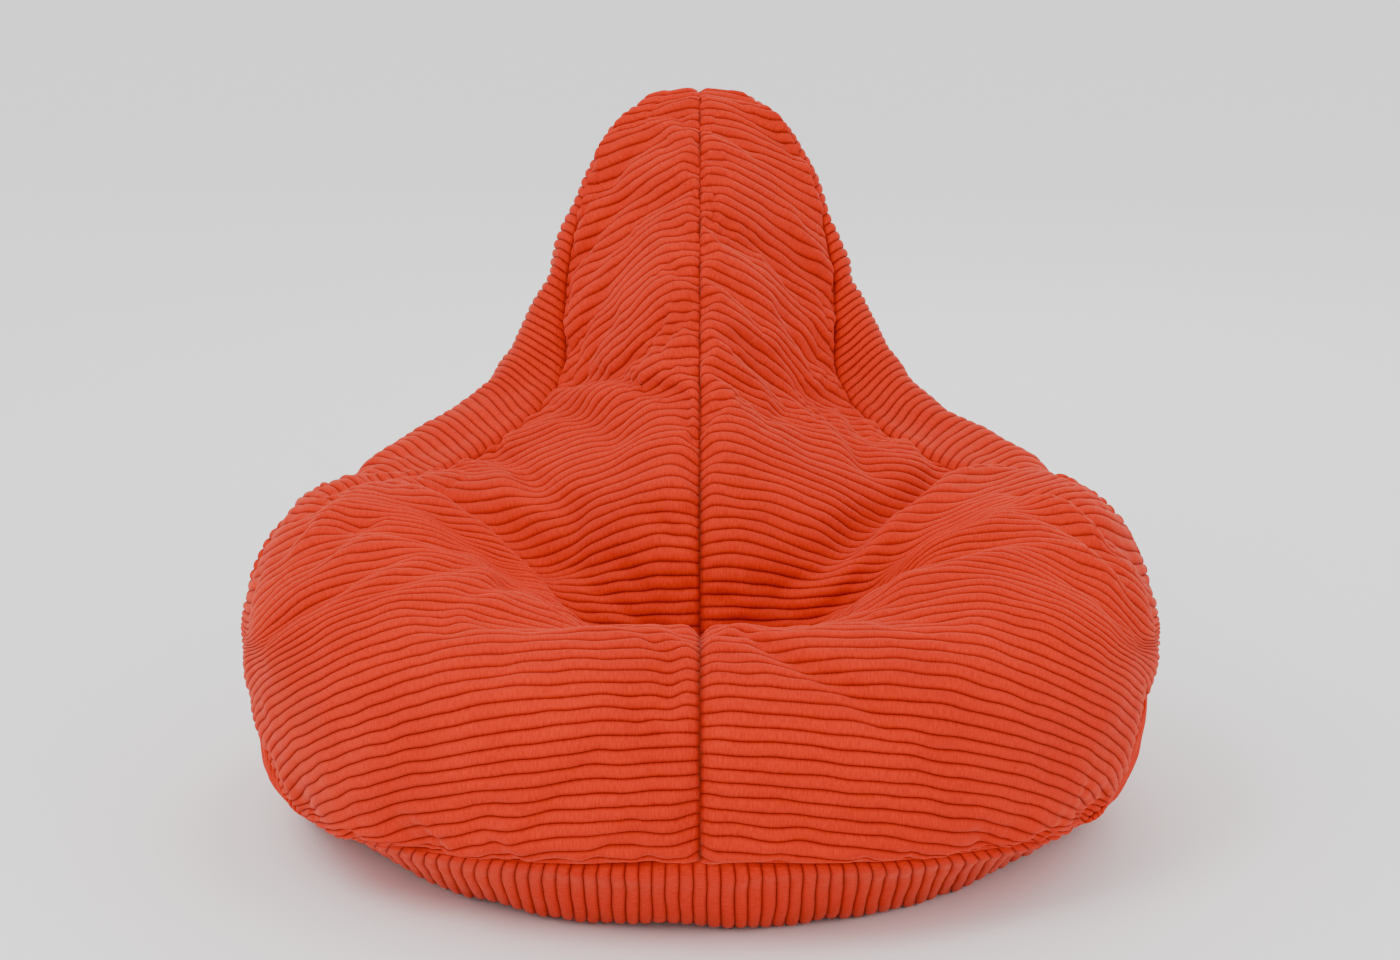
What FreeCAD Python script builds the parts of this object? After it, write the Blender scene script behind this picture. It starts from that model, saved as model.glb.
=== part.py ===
import FreeCAD, Part
import math
import os

# Bean bag recliner in wide-wale corduroy, millimetres.
# +Z up, the sitter faces -Y, +X is on the right of someone looking at the seat.
# The body is first laid out with y = 0 near the front and moved to its own centre at the end.

V = FreeCAD.Vector

# ---------------------------------------------------------------- driving dimensions
COVER_THICK = 4.0        # corduroy with its pile pressed flat
LINER_GAP = 3.0          # loose space between cover and liner
LINER_THICK = 1.5
FILL_GAP = 2.0           # loose space between liner and beads

BASE_SEAM_FRONT = 88.0   # height of the base seam at the middle of the front
BASE_SEAM_REAR = 70.0    # height of the base seam at the rear
BASE_SEAM_DROP = 74.0    # how far the front of the base seam drops at a corner
CORNER_X = 315.0         # where front, side and base panels meet

ZIP_AXIS_Y = 324.0       # the rear of the bag is round about this vertical line
ZIP_RADIUS = 521.0
ZIP_HALF_ANGLE = 26.0    # degrees to each side of the rear middle
ZIP_HEIGHT = 70.0
TAPE_WIDTH = 12.0        # each tape, from its free edge to the teeth
TAPE_THICK = 0.9
TOOTH_PITCH = 4.0
TOOTH = (2.0, 2.4, 2.2)  # along, across the tape, up the tape
TEETH_PART = 0.7         # half the slit between the two rows
CHANNEL_DEPTH = 14.0     # room that the cover, liner and fill leave for the zip

LINER_ZIP_RADIUS = 529.0
LINER_ZIP_HEIGHT = 132.0
LINER_ZIP_HALF_ANGLE = 19.0

HANDLE_HEIGHT = 528.0    # fold line of the carry handle
HANDLE_Y = 815.0
HANDLE_TILT = 17.0       # degrees between the back of the head and the vertical
HANDLE_LEG_X = 30.0
HANDLE_LEG = 62.0
HANDLE_WIDTH = 22.0
HANDLE_THICK = 4.0
PATCH = (98.0, 34.0, 2.0)

LABEL = (36.0, 44.0, 0.8)
LABEL_ANGLE = 2.0        # degrees from the rear middle
LABEL_TUCK = 5.0         # how far the label reaches up over the zip tape
LABEL_RADIUS = 524.0

# Each section of the bag runs from the middle of its front face, over the crest of an arm or
# shoulder and the widest point of the side, to the middle of its underside or back.
# front (y, z), crest (x, y, z), side (x, y, z), back (y, z)
SECTIONS = [
    ((-32, 196), (60, -30, 188), (112, -28, 128), (-28, 50)),
    ((-8, 236), (115, -6, 226), (190, 0, 130), (2, 8)),
    ((35, 259), (180, 42, 252), (258, 45, 138), (50, -32)),
    ((90, 250), (232, 110, 272), (328, 110, 148), (115, -78)),
    ((140, 210), (272, 185, 292), (376, 188, 160), (220, -100)),
    ((180, 172), (298, 270, 304), (403, 278, 165), (330, -100)),
    ((205, 210), (318, 370, 311), (412, 378, 170), (450, -92)),
    ((230, 282), (300, 455, 302), (405, 478, 174), (590, -60)),
    ((290, 345), (234, 535, 322), (362, 590, 185), (735, -10)),
    ((360, 393), (176, 590, 358), (280, 690, 200), (838, 50)),
    ((440, 452), (144, 625, 412), (196, 720, 320), (868, 200)),
    ((520, 513), (123, 655, 480), (152, 735, 415), (858, 335)),
    ((600, 572), (101, 685, 545), (122, 745, 500), (832, 450)),
    ((660, 610), (77, 705, 598), (94, 750, 570), (805, 540)),
]
NOSE = ((-43, 165), (-43, 92), 45)      # flat end at the front: top, bottom, half width
CROWN = ((708, 636), (775, 612), 42)    # flat end on top of the head: front, back, half width
UNDERSIDE_POWER = 2.9                   # how square the body is between side and underside

# Where the front panels are sewn to the side panels, seen from the side (y, z)
FRONT_SEAM = [(125, 0), (250, 130), (330, 190), (400, 240), (480, 318), (600, 400), (665, 510), (735, 680)]
# Half width of the back panel at three heights (x, z)
BACK_SEAM = [(240, 0), (160, 320), (62, 720)]
BACK_BEGINS_Y = 645.0


# ---------------------------------------------------------------- the shape of the bag
def between(a, b, share):
    return a + (b - a) * share


def power_arc(start, corner, end, turn):
    """A point on a rounded corner from start to end; turn goes from 0 to 90 degrees."""
    across = math.sin(math.radians(turn)) ** (2 / UNDERSIDE_POWER)
    along = 1 - math.cos(math.radians(turn)) ** (2 / UNDERSIDE_POWER)
    return start + (corner - start) * across + (end - corner) * along


def half_section(front, crest, side, back):
    """Points of half a section, from the middle of the front face to the middle of the back."""
    front, back = V(0, *front), V(0, *back)
    crest, side = V(*crest), V(*side)
    points = [front]
    for share in (1 / 3, 2 / 3):
        rise = share * share * (3 - 2 * share)
        point = between(front, crest, rise)
        point.x = crest.x * share
        points.append(point)
    points.append(crest)
    shoulder = V(side.x, crest.y, crest.z)
    for turn in (30, 60):
        points.append(power_arc(crest, shoulder, side, turn))
    points.append(side)
    under = V(side.x, back.y, back.z)
    for turn in (22.5, 45, 67.5):
        points.append(power_arc(side, under, back, turn))
    points.append(back)
    return points


def flat_end(top, bottom, half_width):
    """A small flat end section with the same number of points as the others."""
    top, bottom = V(0, *top), V(0, *bottom)
    points = []
    for turn in range(0, 181, 18):
        point = between(bottom, top, (1 + math.cos(math.radians(turn))) / 2)
        point.x = half_width * math.sin(math.radians(turn))
        points.append(point)
    return points


def closed(half):
    """The whole section: the half that was drawn and its mirror image."""
    mirrored = [V(-p.x, p.y, p.z) for p in reversed(half[1:-1])]
    return half + mirrored


def body_net():
    rows = [flat_end(*NOSE)] + [half_section(*s) for s in SECTIONS] + [flat_end(*CROWN)]
    return [closed(row) for row in rows]


def inset_net(net, depth):
    """The same net moved inwards by depth, square to its own surface."""
    last, count = len(net) - 1, len(net[0])
    moved = []
    for i, row in enumerate(net):
        if i in (0, last):
            middle = row[0].add(row[count // 2]) * 0.5
            axis = (row[1] - row[0]).cross(row[count // 2] - row[0]).normalize()
            inward = net[1][0] + net[1][count // 2] if i == 0 else net[last - 1][0] + net[last - 1][count // 2]
            if axis.dot(inward * 0.5 - middle) < 0:
                axis = axis * -1
            shrink = 1 - depth / (row[0] - middle).Length
            moved.append([middle + (p - middle) * shrink + axis * depth for p in row])
            continue
        points = []
        for j, point in enumerate(row):
            along = net[i + 1][j] - net[i - 1][j]
            around = row[(j + 1) % count] - row[j - 1]
            points.append(point + along.cross(around).normalize() * depth)
        moved.append(points)
    return moved


def spacing(lines):
    """Mean share of the way along at which the points of several lines lie."""
    total = [0.0] * len(lines[0])
    for line in lines:
        run = [0.0]
        for a, b in zip(line, line[1:]):
            run.append(run[-1] + (b - a).Length)
        total = [t + r / run[-1] for t, r in zip(total, run)]
    return [t / len(lines) for t in total]


def curve_through(points, places):
    curve = Part.BSplineCurve()
    curve.interpolate(Points=list(points), Parameters=places)
    return curve


def bag_solid(net, floor):
    """Closed solid skinned over the sections of a net, cut flat where it stands."""
    count = len(net[0])
    half = count // 2
    grid = [[row[(j + half) % count] for j in range(count + 1)] for row in net]
    around = spacing(grid[1:-1])
    along = spacing(list(zip(*grid)))
    rows = [curve_through(row, around) for row in grid]
    columns = [curve_through(column, along) for column in zip(*[row.getPoles() for row in rows])]
    poles = [list(line) for line in zip(*[column.getPoles() for column in columns])]
    skin = Part.BSplineSurface()
    skin.buildFromPolesMultsKnots(
        poles, columns[0].getMultiplicities(), rows[0].getMultiplicities(),
        columns[0].getKnots(), rows[0].getKnots(), False, False, 3, 3)
    left, right = skin.copy(), skin.copy()
    left.segment(0, 1, 0, around[half])
    right.segment(0, 1, around[half], 1)
    faces = [left.toShape(), right.toShape()]
    for end in (0, 1):
        rim = [left.uIso(end).toShape(), right.uIso(end).toShape()]
        faces.append(Part.Face(Part.Wire(Part.__sortEdges__(rim))))
    shell = Part.makeCompound(faces)
    shell.sewShape()
    solid = Part.Solid(shell.Shells[0])
    if solid.Volume < 0:
        solid.reverse()
    above = Part.makeBox(1200, 1400, 1000, V(-600, -300, floor))
    return solid.common(above)


# ---------------------------------------------------------------- cutting shapes
def base_seam_block():
    """Everything under the base seam: arched at the front, level at the rear."""
    arm = CORNER_X * 1.5
    drop = BASE_SEAM_DROP * 1.5 ** 2
    front, rear, low = -200, 1000, -60
    left, right = V(-arm, front, BASE_SEAM_FRONT - drop), V(arm, front, BASE_SEAM_FRONT - drop)
    arch = Part.Arc(left, V(0, front, BASE_SEAM_FRONT), right).toShape()
    front_wire = Part.Wire([
        arch,
        Part.makeLine(right, V(arm, front, low - drop)),
        Part.makeLine(V(arm, front, low - drop), V(-arm, front, low - drop)),
        Part.makeLine(V(-arm, front, low - drop), left),
    ])
    rear_wire = Part.makePolygon([
        V(-arm, rear, BASE_SEAM_REAR), V(arm, rear, BASE_SEAM_REAR),
        V(arm, rear, low - drop), V(-arm, rear, low - drop), V(-arm, rear, BASE_SEAM_REAR),
    ])
    return Part.makeLoft([front_wire, rear_wire], True, True)


def front_block():
    """Everything in front of the seams that join the front panels to the side panels."""
    points = [V(-600, y, z) for y, z in FRONT_SEAM]
    curve = Part.BSplineCurve()
    curve.interpolate(Points=points)
    outline = Part.Wire([
        curve.toShape(),
        Part.makeLine(points[-1], V(-600, points[-1].y, 900)),
        Part.makeLine(V(-600, points[-1].y, 900), V(-600, -300, 900)),
        Part.makeLine(V(-600, -300, 900), V(-600, -300, -60)),
        Part.makeLine(V(-600, -300, -60), V(-600, 125, -60)),
        Part.makeLine(V(-600, 125, -60), points[0]),
    ])
    return Part.Face(outline).extrude(V(1200, 0, 0))


def back_block():
    """Everything between the two seams of the back panel."""
    right = [V(x, BACK_BEGINS_Y, z) for x, z in BACK_SEAM]
    left = [V(-x, BACK_BEGINS_Y, z) for x, z in reversed(BACK_SEAM)]
    return Part.Face(Part.makePolygon(right + left + [right[0]])).extrude(V(0, 600, 0))


def half_space():
    """The half of space on the +X side."""
    return Part.makeBox(600, 1400, 1100, V(0, -300, -60))


def ring_sector(inner, outer, low, high, start, end):
    """A piece of ring about the zip's vertical line; angles are from the rear middle."""
    height = high - low
    base = V(0, ZIP_AXIS_Y, low)
    ring = Part.makeCylinder(outer, height, base, V(0, 0, 1), end - start)
    ring = ring.cut(Part.makeCylinder(inner, height, base, V(0, 0, 1)))
    ring.rotate(base, V(0, 0, 1), 90 + start)
    return ring


def at_angle(shape, angle):
    shape.rotate(V(0, ZIP_AXIS_Y, 0), V(0, 0, 1), angle)
    return shape


# ---------------------------------------------------------------- zips
def zip_tape(radius, height, half_angle, side):
    """One tape of a zip, above (side = 1) or below (side = -1) its slit."""
    edge = TEETH_PART + TOOTH[2] / 2
    low, high = sorted((height + side * edge, height + side * (edge + TAPE_WIDTH)))
    return ring_sector(radius - TAPE_THICK / 2, radius + TAPE_THICK / 2, low, high, -half_angle, half_angle)


def zip_teeth(radius, height, half_angle, side):
    """One row of moulded teeth, each clamped on the edge of its tape."""
    along, across, up = TOOTH
    step = math.degrees(TOOTH_PITCH / radius)
    low = height + TEETH_PART if side > 0 else height - TEETH_PART - up
    tape = zip_tape(radius, height, half_angle, side)
    count = int((half_angle - 1.5) * 2 / step)
    teeth = []
    for index in range(count):
        tooth = Part.makeBox(along, across, up, V(-along / 2, ZIP_AXIS_Y + radius - across / 2, low))
        shift = step / 4 * side
        angle = (index - (count - 1) / 2) * step + shift
        teeth.append(at_angle(tooth, angle).cut(tape))
    return Part.makeCompound([s for t in teeth for s in t.Solids])


def zip_slider(radius, height, angle):
    """A child-safe slider: two plates joined by a wedge, and a lug without a pull tab."""
    reach, clear, plate = 7.0, 1.5, 1.4
    span = math.degrees(8.0 / radius)
    outer = ring_sector(radius + clear, radius + clear + plate, height - reach, height + reach, -span, span)
    inner = ring_sector(radius - clear - plate, radius - clear, height - reach, height + reach, -span, span)
    wedge = ring_sector(radius - clear, radius + clear, height - 0.4, height + 0.4, -span, -span * 0.2)
    lug_base = radius + clear + plate
    lug = ring_sector(lug_base, lug_base + 3.0, height - 1.5, height + 1.5, -span * 0.7, span * 0.7)
    eye = ring_sector(lug_base, lug_base + 1.6, height - 1.5, height + 1.5, -span * 0.3, span * 0.3)
    return at_angle(outer.fuse([inner, wedge, lug.cut(eye)]).removeSplitter(), angle)


def zip_stops(radius, height, half_angle):
    """The two stops that end the slider's travel, bridging both tapes."""
    stops = []
    for side in (-1, 1):
        angles = sorted((side * (half_angle - 1.2), side * (half_angle - 0.6)))
        stops.append(ring_sector(radius + 0.5, radius + 1.5, height - 3.5, height + 3.5, *angles))
    return Part.makeCompound(stops)


def zip_channel(radius, height, half_angle):
    """Space that is left free around a zip."""
    room = CHANNEL_DEPTH
    reach = TAPE_WIDTH + TEETH_PART + TOOTH[2] / 2
    return ring_sector(radius - room / 2, radius + 40, height - reach, height + reach, -half_angle, half_angle)


def zip_parts(prefix, radius, height, half_angle):
    rest = -(half_angle - 3.2)
    return {
        prefix + "zip_tape_upper": zip_tape(radius, height, half_angle, 1),
        prefix + "zip_tape_lower": zip_tape(radius, height, half_angle, -1),
        prefix + "zip_teeth_upper": zip_teeth(radius, height, half_angle, 1),
        prefix + "zip_teeth_lower": zip_teeth(radius, height, half_angle, -1),
        prefix + "zip_slider": zip_slider(radius, height, rest),
        prefix + "zip_stops": zip_stops(radius, height, half_angle),
    }


# ---------------------------------------------------------------- handle and label
def on_head(shape):
    """Place a shape drawn flat (x across, y down the back, z outwards) on the back of the head."""
    shape.rotate(V(0, 0, 0), V(1, 0, 0), -(90 - HANDLE_TILT))
    shape.translate(V(0, HANDLE_Y, HANDLE_HEIGHT))
    return shape


def handle_loop():
    """A strap bent into a U that hangs from its fold line."""
    half, legs = HANDLE_WIDTH / 2, HANDLE_LEG_X
    outer = Part.makeCylinder(legs + half, HANDLE_THICK, V(0, HANDLE_LEG, 0), V(0, 0, 1), 180)
    outer = outer.fuse(Part.makeBox(2 * (legs + half), HANDLE_LEG, HANDLE_THICK, V(-legs - half, 0, 0)))
    inner = Part.makeCylinder(legs - half, HANDLE_THICK, V(0, HANDLE_LEG, 0), V(0, 0, 1), 180)
    inner = inner.fuse(Part.makeBox(2 * (legs - half), HANDLE_LEG, HANDLE_THICK, V(half - legs, 0, 0)))
    return on_head(outer.cut(inner).removeSplitter())


def handle_patch():
    """Reinforcing patch that holds both ends of the strap, above the fold line."""
    width, height, thick = PATCH
    return on_head(Part.makeBox(width, height, thick, V(-width / 2, -height - 0.5, -1.0)))


def handle_stitching():
    """A raised box of stitches at each end of the strap."""
    top = PATCH[2] - 1.0
    boxes = []
    for side in (-1, 1):
        outer = Part.makeBox(20, 24, 0.6, V(side * HANDLE_LEG_X - 10, -29, top))
        inner = Part.makeBox(18.4, 22.4, 0.6, V(side * HANDLE_LEG_X - 9.2, -28.2, top))
        boxes.append(on_head(outer.cut(inner)))
    return Part.makeCompound(boxes)


def care_label(radius):
    """A blank tab that hangs from the lower zip tape."""
    width, height, thick = LABEL
    span = math.degrees(width / radius)
    top = ZIP_HEIGHT - TEETH_PART - TOOTH[2] / 2 - TAPE_WIDTH + LABEL_TUCK
    return ring_sector(radius, radius + thick, top - height, top, LABEL_ANGLE, LABEL_ANGLE + span)


# ---------------------------------------------------------------- assembly
def build():
    net = body_net()
    cover_inside = COVER_THICK
    liner_outside = cover_inside + LINER_GAP
    liner_inside = liner_outside + LINER_THICK
    fill_outside = liner_inside + FILL_GAP
    solids = {depth: bag_solid(inset_net(net, depth) if depth else net, depth)
              for depth in (0, cover_inside, liner_outside, liner_inside, fill_outside)}

    channel = zip_channel(ZIP_RADIUS, ZIP_HEIGHT, ZIP_HALF_ANGLE)
    liner_channel = zip_channel(LINER_ZIP_RADIUS, LINER_ZIP_HEIGHT, LINER_ZIP_HALF_ANGLE)
    cover = solids[0].cut(solids[cover_inside]).cut(channel)
    liner = solids[liner_outside].cut(solids[liner_inside]).cut([channel, liner_channel])
    fill = solids[fill_outside].cut([channel, liner_channel])

    parts = {}
    base = base_seam_block()
    front = front_block()
    back = back_block()
    patch = handle_patch()
    parts["base_panel"] = cover.common(base)
    upper = cover.cut(base)
    parts["back_panel"] = upper.cut(front).common(back).cut(patch)
    right = half_space()
    half = upper.common(right)
    halves = {
        "front_panel": half.common(front),
        "side_panel": half.cut([front, back]),
        "liner": liner.common(right).cut(base),
    }
    for name, shape in halves.items():
        parts[name + "_right"] = shape
        parts[name + "_left"] = shape.mirror(V(0, 0, 0), V(1, 0, 0))
    parts["liner_base"] = liner.common(base)
    parts["bead_fill"] = fill
    parts.update(zip_parts("", ZIP_RADIUS, ZIP_HEIGHT, ZIP_HALF_ANGLE))
    parts.update(zip_parts("liner_", LINER_ZIP_RADIUS, LINER_ZIP_HEIGHT, LINER_ZIP_HALF_ANGLE))
    parts["handle_patch"] = patch
    parts["carry_handle"] = handle_loop()
    parts["handle_stitching"] = handle_stitching()
    parts["care_label"] = care_label(LABEL_RADIUS)
    return parts


def middle_shift(parts):
    """How far the whole bag moves so that the middle of its box stands over the origin."""
    places = [p.y for shape in parts.values() for p in shape.tessellate(1.0)[0]]
    return V(0, -(min(places) + max(places)) / 2, 0)


def main():
    os.makedirs("parts", exist_ok=True)
    parts = build()
    shift = middle_shift(parts)
    for name, shape in parts.items():
        shape.translate(shift)
        shape.exportStep("parts/" + name + ".step")
        print("%-22s %3d solids  valid %s  %.1f cm3" % (
            name, len(shape.Solids), shape.isValid(), shape.Volume / 1000))
    print("moved by", shift)


main()
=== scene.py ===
import math
import bmesh
import bpy
import numpy as np
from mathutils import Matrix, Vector
from mathutils.bvhtree import BVHTree
from mathutils.kdtree import KDTree


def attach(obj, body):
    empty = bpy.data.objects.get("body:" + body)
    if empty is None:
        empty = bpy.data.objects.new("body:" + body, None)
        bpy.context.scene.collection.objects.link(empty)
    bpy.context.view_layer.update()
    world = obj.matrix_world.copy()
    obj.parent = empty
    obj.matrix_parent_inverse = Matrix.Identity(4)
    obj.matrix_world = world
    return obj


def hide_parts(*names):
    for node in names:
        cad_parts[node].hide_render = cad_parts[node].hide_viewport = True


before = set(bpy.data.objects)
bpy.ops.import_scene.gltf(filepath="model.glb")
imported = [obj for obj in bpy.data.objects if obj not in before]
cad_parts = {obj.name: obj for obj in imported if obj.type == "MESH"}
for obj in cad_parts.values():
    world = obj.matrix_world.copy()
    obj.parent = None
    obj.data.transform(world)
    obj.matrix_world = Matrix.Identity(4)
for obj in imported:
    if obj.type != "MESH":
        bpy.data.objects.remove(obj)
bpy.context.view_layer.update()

# -------------------- driving values, metres
WALE = 0.0113            # pitch of the corduroy's ribs
RIB_HEIGHT = 0.0031
RIB_PLACES = (0.0, 0.05, 0.14, 0.30, 0.50, 0.70, 0.86, 0.95)
SEAM_TUCK = 0.0052       # how far a panel's edge is drawn in at a seam
SEAM_REACH = 0.0070      # how far from the seam the drawing in is felt
HEM = 0.007              # seam allowance turned in behind each edge
COVER_DEPTH = 0.0085     # a point on the CAD cover is its outer skin if the beads are further than this
FRONT_CUT = 4.5          # wales of the front panel that the base seam cuts off at each corner
# How far along its two edges each wale of a panel runs, as shares of their lengths
FRONT_WALES = ((0, .563, 1), (0, .490, 1))
SIDE_WALES = ((0, .20, .40, .48, .60, .74, 1), (0, .08, .19, .33, .50, .66, 1))

UP_LATE = (False, True, True)       # leaves sideways and arrives going back and up
DOWN_LATE = (False, False, True)    # leaves level and arrives going down

COVER_NODES = ("front_panel_left", "front_panel_right", "side_panel_left", "side_panel_right",
               "back_panel", "base_panel")

# Middle of the front, from the base seam over the lip and the seat to the crown (y, z)
MIDDLE = ((-.450, .088), (-.456, .130), (-.446, .190), (-.420, .236), (-.377, .260), (-.322, .250),
          (-.272, .212), (-.232, .178), (-.209, .212), (-.182, .282), (-.122, .345), (-.052, .393),
          (.028, .452), (.108, .513), (.188, .572), (.248, .610), (.296, .634), (.323, .636))
# Seam of front and side panel, from the corner at the floor over the arm to the crown
FRONT_SEAM = ((.318, -.254, .030), (.340, -.212, .072), (.362, -.157, .128), (.386, -.092, .185),
              (.389, -.027, .240), (.357, .008, .290), (.317, .026, .308), (.272, .043, .300),
              (.225, .078, .308), (.180, .118, .335), (.152, .160, .372), (.137, .212, .425),
              (.126, .252, .480), (.108, .283, .545), (.080, .305, .598), (.040, .322, .630))
# Seam of side and base panel, from the same corner round the side to the foot of the back panel
BASE_SEAM = ((.318, -.254, .030), (.350, -.190, .024), (.374, -.110, .022), (.384, -.020, .024),
             (.376, .080, .030), (.348, .180, .040), (.305, .270, .052), (.268, .335, .062),
             (.236, .380, .070))
# Seam of side and back panel, from the crown to the base seam
BACK_SEAM = ((.040, .322, .630), (.066, .350, .605), (.095, .385, .545), (.126, .425, .430),
             (.155, .447, .320), (.190, .440, .200), (.215, .415, .120), (.236, .380, .070))
BASE_SEAM_DROP = 0.058   # from the middle of the front to a corner
REAR_EDGE = ((0, .4360), (.061, .4345), (.124, .428), (.180, .412), (.236, .380))
REAR_LEAN = 0.38         # how far the rear comes back for each metre up, beside the zip
ZIP_HEIGHT = 0.070
ZIP_AXIS_Y = -0.0884
ZIP_HALF_WIDTH = 0.2286
ZIP_OPENING = 0.0095     # from the middle of the zip to each edge of the cover
LINER_ZIP_HEIGHT = 0.132
LINER_ZIP_HALF_WIDTH = 0.172
LINER_DEPTH = 0.0105     # the liner hangs this far behind the cover's skin
BEADS_BEHIND_LINER = 0.009

HANDLE_ORIGIN = (0, .40256, .528)   # the middle of its fold line
HANDLE_TILT = 17.0       # how far the back of the head leans, in degrees
HANDLE_LEG_X = 0.030     # from the middle to each leg of the U
HANDLE_LEG = 0.062
HANDLE_WIDTH = 0.022
HANDLE_THICK = 0.004
PATCH = (0.098, 0.034)
LABEL = (0.036, 0.044)
LABEL_ANGLE = 2.0        # degrees round the zip's axis from the rear middle
LABEL_RADIUS = 0.5244
LABEL_TOP = 0.0612

# Where the outline is drawn in: height, reach up and down, and shares of the width at left and right
DRAWN_IN = ((0.360, 0.048, 0.052, 0.052),    # shoulders
            (0.285, 0.030, 0.036, 0.020))    # tops of the arms
FOOT_LIFT = 0.045        # rounding of the underside at the front
FIRM, FLAT = 0.8, 0.2    # how full the bag, and the strap and its patch, are
CLOTH_FRAMES = 24
CLOTH = {"quality": 6, "mass": 0.35, "tension_stiffness": 40, "compression_stiffness": 40,
         "shear_stiffness": 12, "bending_stiffness": 0.35, "use_pressure": True,
         "uniform_pressure_force": 1.2}
CLOTH_REACH = 0.009      # the furthest that the simulation may move a point

# Folds of the cover: a line of points, how wide it is, and how far it stands out (or in, below zero)
FOLDS_LEFT = (
    (((-.300, -.040, .309), (-.250, -.090, .297), (-.210, -.130, .282), (-.165, -.165, .262),
      (-.125, -.205, .255), (-.080, -.270, .258)), .016, .015),
    (((-.275, -.005, .305), (-.222, -.050, .292), (-.178, -.085, .270), (-.138, -.115, .245),
      (-.095, -.140, .225)), .024, -.018),
    (((-.361, -.207, .268), (-.339, -.197, .289), (-.316, -.163, .301), (-.285, -.135, .303)), .012, -.007),
    (((-.378, -.215, .217), (-.338, -.256, .259), (-.298, -.244, .286), (-.244, -.221, .289)), .013, -.008),
    (((-.300, -.285, .262), (-.242, -.256, .285), (-.200, -.215, .280)), .013, -.007),
    (((-.330, -.120, .305), (-.300, -.165, .304), (-.250, -.180, .296), (-.200, -.190, .283)), .012, -.007),
    (((-.372, -.160, .270), (-.352, -.150, .292), (-.330, -.100, .304)), .013, .006),
    (((-.340, -.225, .278), (-.300, -.205, .297), (-.250, -.200, .292)), .011, .006),
    (((-.211, -.291, .274), (-.181, -.265, .273), (-.157, -.210, .258)), .012, -.007),
    (((-.224, .095, .318), (-.179, .023, .311), (-.155, -.041, .300), (-.126, -.102, .286),
      (-.090, -.160, .255)), .020, -.009),
    (((-.200, .020, .312), (-.165, -.055, .296), (-.120, -.120, .270)), .016, .006),
    (((-.135, .110, .352), (-.103, .019, .349), (-.060, -.060, .345)), .015, -.006),
    (((-.155, .154, .354), (-.094, .051, .366), (-.050, .000, .372)), .016, .005),
    (((-.020, .262, .585), (-.060, .268, .560), (-.098, .262, .520)), .013, -.006),
    (((-.040, .235, .540), (-.085, .240, .500), (-.122, .232, .455)), .013, -.006),
    (((-.050, .190, .490), (-.100, .190, .450), (-.135, .180, .405)), .014, .005),
    (((-.060, .130, .440), (-.110, .130, .400), (-.150, .130, .360)), .014, -.005),
)
FOLDS_RIGHT = (
    (((.300, .040, .305), (.265, .000, .302), (.232, -.040, .296), (.200, -.080, .287),
      (.165, -.118, .270), (.130, -.160, .255), (.090, -.230, .255)), .016, .015),
    (((.275, .060, .303), (.228, .010, .296), (.195, -.030, .284), (.165, -.062, .268),
      (.132, -.095, .250), (.095, -.135, .228)), .024, -.017),
    (((.102, -.185, .235), (.138, -.182, .245), (.172, -.196, .262), (.205, -.215, .278),
      (.250, -.205, .292), (.299, -.195, .298)), .015, -.009),
    (((.150, -.245, .268), (.200, -.258, .283), (.250, -.240, .293), (.310, -.230, .296)), .020, .007),
    (((.165, -.165, .262), (.205, -.172, .280), (.257, -.168, .295), (.291, -.139, .304)), .014, .008),
    (((.285, -.105, .306), (.322, -.120, .305), (.349, -.142, .298), (.370, -.157, .281)), .012, .007),
    (((.290, -.150, .303), (.335, -.160, .300), (.362, -.180, .283), (.380, -.200, .255)), .012, -.008),
    (((.310, -.210, .297), (.345, -.200, .292), (.372, -.215, .262)), .012, .006),
    (((.290, -.260, .275), (.335, -.245, .275), (.370, -.245, .240)), .013, -.006),
    (((.270, -.070, .303), (.315, -.085, .307), (.350, -.110, .303), (.372, -.130, .285)), .012, -.007),
    (((.118, .090, .372), (.148, .030, .338), (.170, -.030, .310)), .017, -.008),
    (((.060, .080, .402), (.110, .050, .360), (.150, -.020, .322)), .018, .005),
    (((.045, .130, .450), (.090, .130, .420), (.130, .140, .385)), .013, -.005),
    (((.010, .250, .592), (.034, .244, .580), (.055, .253, .568)), .010, -.005),
    (((.060, .225, .520), (.095, .225, .490), (.120, .225, .460)), .013, .005),
    (((.030, .175, .500), (.080, .170, .465), (.120, .175, .430)), .014, -.005),
)
FOLDS_SIDE = (
    (((.330, .060, .290), (.350, .130, .250), (.340, .200, .190)), .020, -.006),
    (((.260, .180, .330), (.290, .230, .270), (.300, .270, .200)), .018, -.006),
    (((.200, .200, .380), (.215, .280, .340), (.220, .340, .280)), .018, .005),
    (((.370, -.060, .230), (.385, .020, .190), (.380, .080, .130)), .018, -.005),
    (((.150, .240, .450), (.150, .320, .440), (.140, .380, .420)), .014, -.005),
)
FOLDS_BACK = (
    (((-.150, .430, .400), (-.060, .440, .370), (.020, .450, .380)), .020, -.006),
    (((.140, .430, .330), (.060, .450, .300), (-.030, .460, .310)), .020, -.006),
    (((-.180, .430, .200), (-.080, .455, .180), (.030, .460, .190)), .022, .005),
    (((.100, .400, .500), (.040, .410, .470), (-.020, .410, .480)), .016, -.005),
)


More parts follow.
